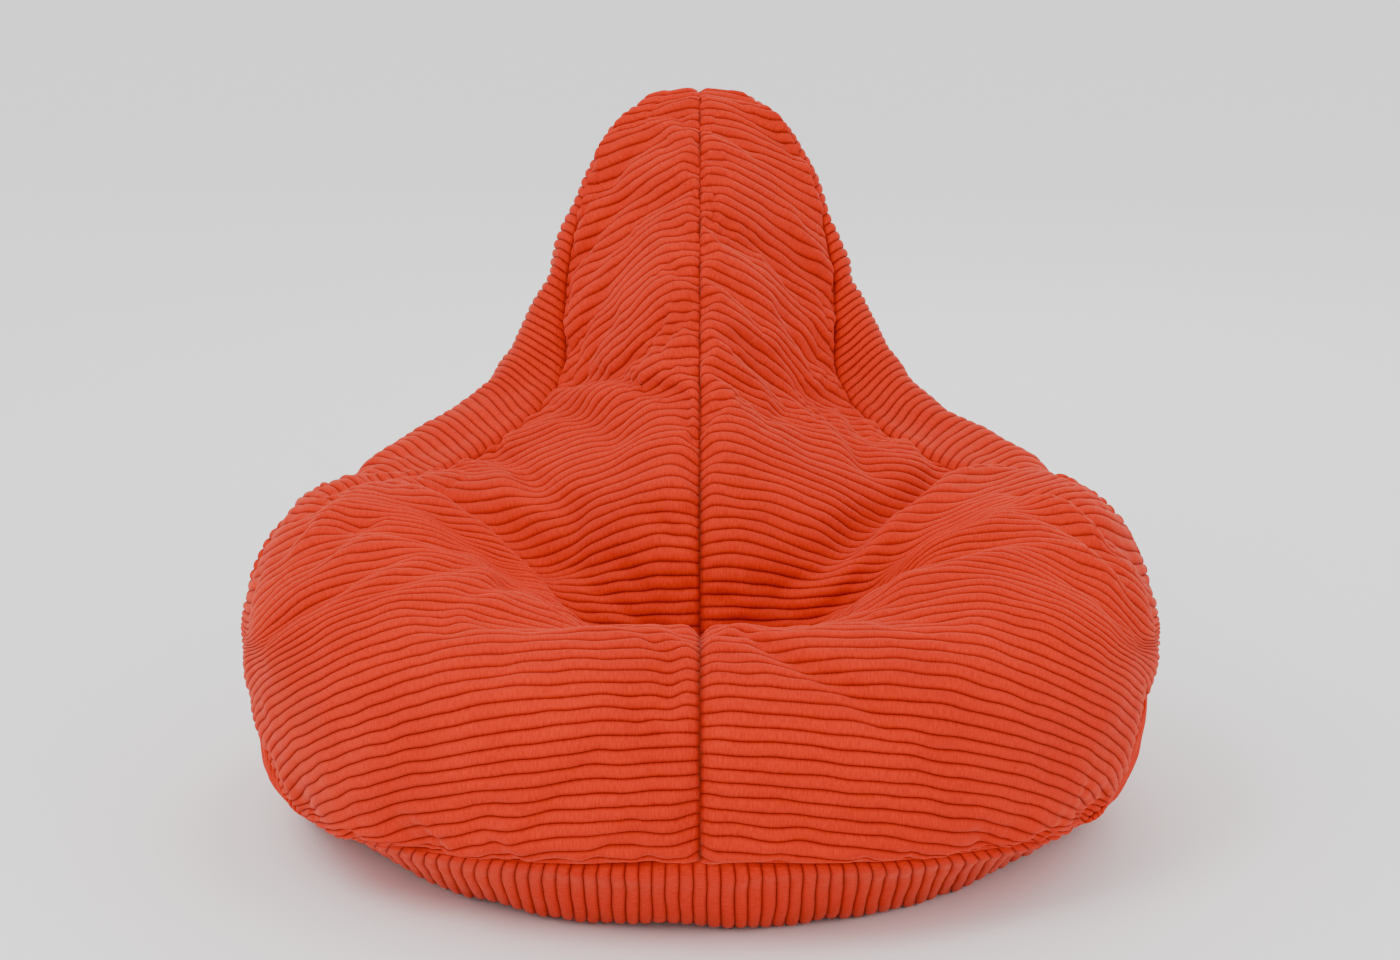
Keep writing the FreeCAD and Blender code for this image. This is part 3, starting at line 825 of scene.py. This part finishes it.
def handle_patch(cloth):
    """The patch that holds the strap: three wales high, with turned-in edges."""
    width, height = PATCH
    down = np.linspace(0, 1, 49)
    across = np.linspace(-0.5, 0.5, 91)
    grid = np.zeros((49, 91, 3))
    grid[..., 0] = across[None, :] * width
    grid[..., 1] = -0.0005 - height * (1 - down[:, None])
    rib = np.sqrt(np.clip(1 - (2 * np.mod(down * 3, 1.0) - 1) ** 2, 0, 1))
    rim = from_border(grid)
    edge = np.sqrt(1 - (1 - np.clip(rim / 0.003, 0, 1)) ** 2)
    grid[..., 2] = -0.001 + edge * (0.0018 + rib[:, None] * 0.0014)
    # The rib value carries painted shade: the patch is darker in the grooves between its three wales and
    # towards its turned-in edges.
    values = {"rib": rib[:, None] * edge, "along": grid[..., 0] + width,
              "across": np.broadcast_to((down * 3 * WALE)[:, None], rim.shape)}
    piece = grid_object("strap_patch", on_head(grid), values)
    finish_piece(piece, cloth, "bag", "corduroy", "handle_patch", fill=FLAT)


def stitches(name, lines, outwards, thread, length=0.0030, gap=0.0013, thick=0.00045):
    """Rows of short stitches, each a rounded bead of thread, along lines on a surface."""
    points, quads = [], []
    around = np.linspace(0, 2 * math.pi, 7)[:-1]
    ring = np.array([0.0, 0.7, 1.0, 0.7, 0.0])
    for line, out in zip(lines, outwards):
        line, out = np.array(line, float), np.array(out, float)
        along = distance_along(line)
        for start in np.arange(gap, along[-1] - length, length + gap):
            stops = np.linspace(start, start + length, 5)
            middle = read_at(stops, along, line)
            up = read_at(start, along, out)
            way = unit(middle[-1] - middle[0])
            flank = np.cross(way, up)
            tube = middle[:, None] + (flank * np.cos(around)[:, None] + up * np.sin(around)[:, None]) * (
                thick * np.maximum(ring, 0.05)[:, None, None])
            tube = np.concatenate([tube, tube[:, :1]], axis=1)
            quads.append(grid_faces(5, 7, sum(len(p) for p in points)).reshape(-1, 4))
            points.append(tube.reshape(-1, 3))
    piece = welded(mesh_object(name, np.concatenate(points), np.concatenate(quads), {}))
    finish_piece(piece, thread, "bag", "thread")
    return piece


def box_line(low, high, level):
    """The outline of an upright box on the patch."""
    corners = np.array([(low[0], low[1]), (high[0], low[1]), (high[0], high[1]), (low[0], high[1]), low])
    line = np.column_stack([corners, np.full(5, level)])
    return straight_runs(line, 60)


def handle_stitching(thread):
    """A crossed box on each end of the strap, and a row round the patch."""
    lines = []
    top, foot, level = -0.029, -0.005, 0.0024
    for side in (-1, 1):
        left, right = side * HANDLE_LEG_X - 0.010, side * HANDLE_LEG_X + 0.010
        lines.append(box_line((left, top), (right, foot), level))
        lines.append(straight_runs([(left, top, level), (right, foot, level)], 20))
        lines.append(straight_runs([(right, top, level), (left, foot, level)], 20))
    lines.append(box_line((-0.0455, -0.0312), (0.0455, -0.0036), 0.0022))
    placed = [on_head(line) for line in lines]
    out = on_head(np.array([(0, 0, 1.0)]))[0] - np.array(HANDLE_ORIGIN)
    piece = stitches("strap_stitches", placed, [np.tile(out, (len(line), 1)) for line in placed], thread)
    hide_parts("handle_stitching")


def zip_stitching(thread):
    """A row of stitches along each edge of the cover beside the zip."""
    lines, ways = [], []
    for way in (-1, 1):
        line = both_sides(rear_edge(way))
        line = line[np.abs(line[:, 0]) < ZIP_HALF_WIDTH - 0.004]
        line[:, 2] += way * 0.0065
        line[:, 1] += way * 0.0065 * REAR_LEAN + 0.0008
        out = unit(line - np.array((0, ZIP_AXIS_Y, 0)))
        out[:, 2] = -0.3
        lines.append(line)
        ways.append(unit(out))
    stitches("zip_stitches", lines, ways, thread)


def care_label(satin):
    """A blank satin tab that hangs from the zip and curls away at its lower end."""
    width, height = LABEL
    down = np.linspace(0, 1, 41)[:, None]
    across = np.linspace(0, 1, 33)[None, :]
    angle = math.radians(LABEL_ANGLE) + across * width / LABEL_RADIUS
    curl = 0.0030 * smooth_step((down - 0.25) / 0.75) + 0.0006 * np.sin(across * 5 + down * 3) * down
    radius = LABEL_RADIUS + curl
    grid = np.zeros((41, 33, 3))
    grid[..., 0] = -np.sin(angle) * radius
    grid[..., 1] = ZIP_AXIS_Y + np.cos(angle) * radius
    grid[..., 2] = LABEL_TOP - down * height
    piece = grid_object("care_tab", grid, {})
    finish_piece(piece, satin, "bag", "label_satin", "care_label")


# -------------------- materials
def new_material(name):
    material = bpy.data.materials.new(name)
    material.use_nodes = True
    nodes = material.node_tree.nodes
    return material, nodes, material.node_tree.links, nodes["Principled BSDF"]


def dial(node, values):
    for key, value in values.items():
        node.inputs[key].default_value = value


def ramp(nodes, links, value, low, high, start, end):
    """A colour that runs from low to high as the value runs from start to end."""
    node = nodes.new("ShaderNodeValToRGB")
    links.new(value, node.inputs["Fac"])
    node.color_ramp.elements[0].position = start
    node.color_ramp.elements[0].color = (*low, 1)
    node.color_ramp.elements[1].position = end
    node.color_ramp.elements[1].color = (*high, 1)
    return node.outputs["Color"]


def times(nodes, links, first, second, factor):
    node = nodes.new("ShaderNodeMix")
    node.data_type = "RGBA"
    node.blend_type = "MULTIPLY"
    node.inputs["Factor"].default_value = factor
    links.new(first, node.inputs["A"])
    links.new(second, node.inputs["B"])
    return node.outputs["Result"]


def noise(nodes, links, vector, scale, detail):
    node = nodes.new("ShaderNodeTexNoise")
    dial(node, {"Scale": scale, "Detail": detail})
    links.new(vector, node.inputs["Vector"])
    return node.outputs["Fac"]


def bumped(nodes, links, shader, height, strength, distance):
    bump = nodes.new("ShaderNodeBump")
    dial(bump, {"Strength": strength, "Distance": distance})
    links.new(height, bump.inputs["Height"])
    links.new(bump.outputs["Normal"], shader.inputs["Normal"])


def position(nodes):
    return nodes.new("ShaderNodeNewGeometry").outputs["Position"]


def corduroy_material():
    material, nodes, links, shader = new_material("corduroy")
    parts = {}
    for key in ("rib", "along", "across"):
        parts[key] = nodes.new("ShaderNodeAttribute")
        parts[key].attribute_name = key
    place = nodes.new("ShaderNodeCombineXYZ")
    links.new(parts["along"].outputs["Fac"], place.inputs["X"])
    links.new(parts["across"].outputs["Fac"], place.inputs["Y"])
    stretch = nodes.new("ShaderNodeMapping")
    stretch.inputs["Scale"].default_value = (1.6, 0.35, 1)
    links.new(place.outputs["Vector"], stretch.inputs["Vector"])
    pile = noise(nodes, links, stretch.outputs["Vector"], 420, 3)
    cloud = noise(nodes, links, position(nodes), 11, 4)

    rib = parts["rib"].outputs["Fac"]
    # Painted shade: the base colour is darker in the grooves between the wales, where rib is low, and
    # lighter on their crests.
    depth = ramp(nodes, links, rib, (0.26, 0.006, 0.0008), (0.61, 0.019, 0.0016), 0.02, 0.85)
    shade = ramp(nodes, links, pile, (0.66, 0.50, 0.45), (1, 1, 1), 0.32, 0.64)
    tone = ramp(nodes, links, cloud, (0.84, 0.74, 0.70), (1, 1, 1), 0.34, 0.66)
    colour = times(nodes, links, depth, shade, 0.6)
    colour = times(nodes, links, colour, tone, 0.6)
    links.new(colour, shader.inputs["Base Color"])
    bumped(nodes, links, shader, pile, 0.45, 0.0009)
    dial(shader, {"Roughness": 0.9, "Specular IOR Level": 0.15, "Sheen Weight": 0.27,
                  "Sheen Roughness": 0.4, "Sheen Tint": (1.0, 0.36, 0.24, 1)})
    return material


def woven_material(name, low, high, pitch, roughness):
    """Plain weave: fine crossing yarns over a slight unevenness of colour."""
    material, nodes, links, shader = new_material(name)
    place = position(nodes)
    yarns = []
    for way in ("X", "Z"):
        wave = nodes.new("ShaderNodeTexWave")
        wave.bands_direction = way
        dial(wave, {"Scale": 0.314 / pitch, "Distortion": 0.6, "Detail": 1})
        links.new(place, wave.inputs["Vector"])
        yarns.append(wave.outputs["Fac"])
    weave = nodes.new("ShaderNodeMath")
    weave.operation = "MAXIMUM"
    links.new(yarns[0], weave.inputs[0])
    links.new(yarns[1], weave.inputs[1])
    colour = ramp(nodes, links, weave.outputs["Value"], low, high, 0.1, 0.9)
    cloud = noise(nodes, links, place, 30, 4)
    tone = ramp(nodes, links, cloud, (0.82, 0.82, 0.82), (1, 1, 1), 0.35, 0.65)
    links.new(times(nodes, links, colour, tone, 0.7), shader.inputs["Base Color"])
    bumped(nodes, links, shader, weave.outputs["Value"], 0.5, pitch * 0.4)
    dial(shader, {"Roughness": roughness, "Sheen Weight": 0.2})
    return material


def moulded_material(name, low, high, scale, roughness, metallic):
    """Moulded plastic or painted metal, slightly uneven in colour and gloss."""
    material, nodes, links, shader = new_material(name)
    cloud = noise(nodes, links, position(nodes), scale, 5)
    colour = ramp(nodes, links, cloud, low, high, 0.35, 0.65)
    links.new(colour, shader.inputs["Base Color"])
    gloss = ramp(nodes, links, cloud, (roughness * 0.8,) * 3, (roughness * 1.25,) * 3, 0.3, 0.7)
    links.new(gloss, shader.inputs["Roughness"])
    bumped(nodes, links, shader, cloud, 0.15, 0.0002)
    dial(shader, {"Metallic": metallic})
    return material


def bead_material():
    """Expanded polystyrene beads, about 4 mm across, with painted shade between them."""
    material, nodes, links, shader = new_material("beads")
    cells = nodes.new("ShaderNodeTexVoronoi")
    dial(cells, {"Scale": 240})
    links.new(position(nodes), cells.inputs["Vector"])
    from_middle = cells.outputs["Distance"]
    # Painted shade: each bead is lighter at its middle and darker towards its edge, where it meets the next
    # bead.
    colour = ramp(nodes, links, from_middle, (0.93, 0.93, 0.92), (0.55, 0.55, 0.54), 0.35, 0.9)
    links.new(colour, shader.inputs["Base Color"])
    bumped(nodes, links, shader, from_middle, -0.8, 0.002)
    dial(shader, {"Roughness": 0.6})
    return material


def paint_zips():
    tape = woven_material("zip_tape", (0.30, 0.015, 0.004), (0.62, 0.050, 0.014), 0.0008, 0.75)
    teeth = moulded_material("zip_teeth", (0.60, 0.050, 0.014), (0.72, 0.075, 0.022), 160, 0.35, 0.0)
    metal = moulded_material("zip_metal", (0.26, 0.25, 0.24), (0.40, 0.39, 0.37), 220, 0.32, 0.9)
    kinds = {"zip_tape_upper": tape, "zip_tape_lower": tape, "zip_teeth_upper": teeth,
             "zip_teeth_lower": teeth, "zip_slider": metal, "zip_stops": metal}
    for prefix in ("", "liner_"):
        for name, material in kinds.items():
            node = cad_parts[prefix + name]
            if not node.material_slots:
                node.data.materials.append(material)
            for slot in node.material_slots:
                slot.material = material


# -------------------- stage
def camera():
    data = bpy.data.cameras.new("camera")
    data.sensor_width = 36.0
    data.lens = 95.1
    eye = bpy.data.objects.new("camera", data)
    eye.location = (0, -3.350, 1.100)
    eye.rotation_euler = (math.radians(90 - 13.31), 0, 0)
    bpy.context.scene.collection.objects.link(eye)
    bpy.context.scene.camera = eye


def area_light(name, place, aim, size, power):
    data = bpy.data.lights.new(name, "AREA")
    data.shape = "DISK"
    data.size = size
    data.energy = power
    lamp = bpy.data.objects.new(name, data)
    lamp.location = place
    lamp.rotation_euler = (Vector(aim) - Vector(place)).to_track_quat("-Z", "Y").to_euler()
    bpy.context.scene.collection.objects.link(lamp)


def studio():
    world = bpy.data.worlds.new("studio")
    world.use_nodes = True
    dial(world.node_tree.nodes["Background"], {"Color": (1, 1, 1, 1), "Strength": 1.4})
    bpy.context.scene.world = world
    area_light("key", (-1.3, -1.8, 2.6), (0, 0, 0.25), 1.6, 46)
    area_light("fill", (2.2, -2.0, 1.4), (0, 0, 0.25), 2.0, 12)
    area_light("rear", (0.5, 2.4, 2.0), (0, 0, 0.3), 2.0, 16)


def floor():
    bpy.ops.mesh.primitive_plane_add(size=14, location=(0, 1.5, 0))
    plane = bpy.context.object
    plane.name = "floor"
    material, nodes, links, shader = new_material("floor")
    dial(shader, {"Base Color": (0.95, 0.95, 0.95, 1), "Roughness": 0.8})
    plane.data.materials.append(material)


# -------------------- assembly
def build():
    camera()
    skin = Skin()
    panels = Panels(skin)
    corduroy = corduroy_material()
    thread = moulded_material("thread", (0.50, 0.030, 0.008), (0.70, 0.055, 0.015), 300, 0.6, 0.0)
    cover(panels, corduroy)
    liner(panels, woven_material("liner_cloth", (0.55, 0.53, 0.48), (0.80, 0.78, 0.72), 0.0011, 0.85))
    beads(panels, bead_material())
    carry_handle(corduroy)
    handle_patch(corduroy)
    handle_stitching(thread)
    zip_stitching(thread)
    care_label(woven_material("label_satin", (0.80, 0.79, 0.76), (0.90, 0.89, 0.86), 0.0004, 0.45))
    paint_zips()
    studio()
    floor()


build()
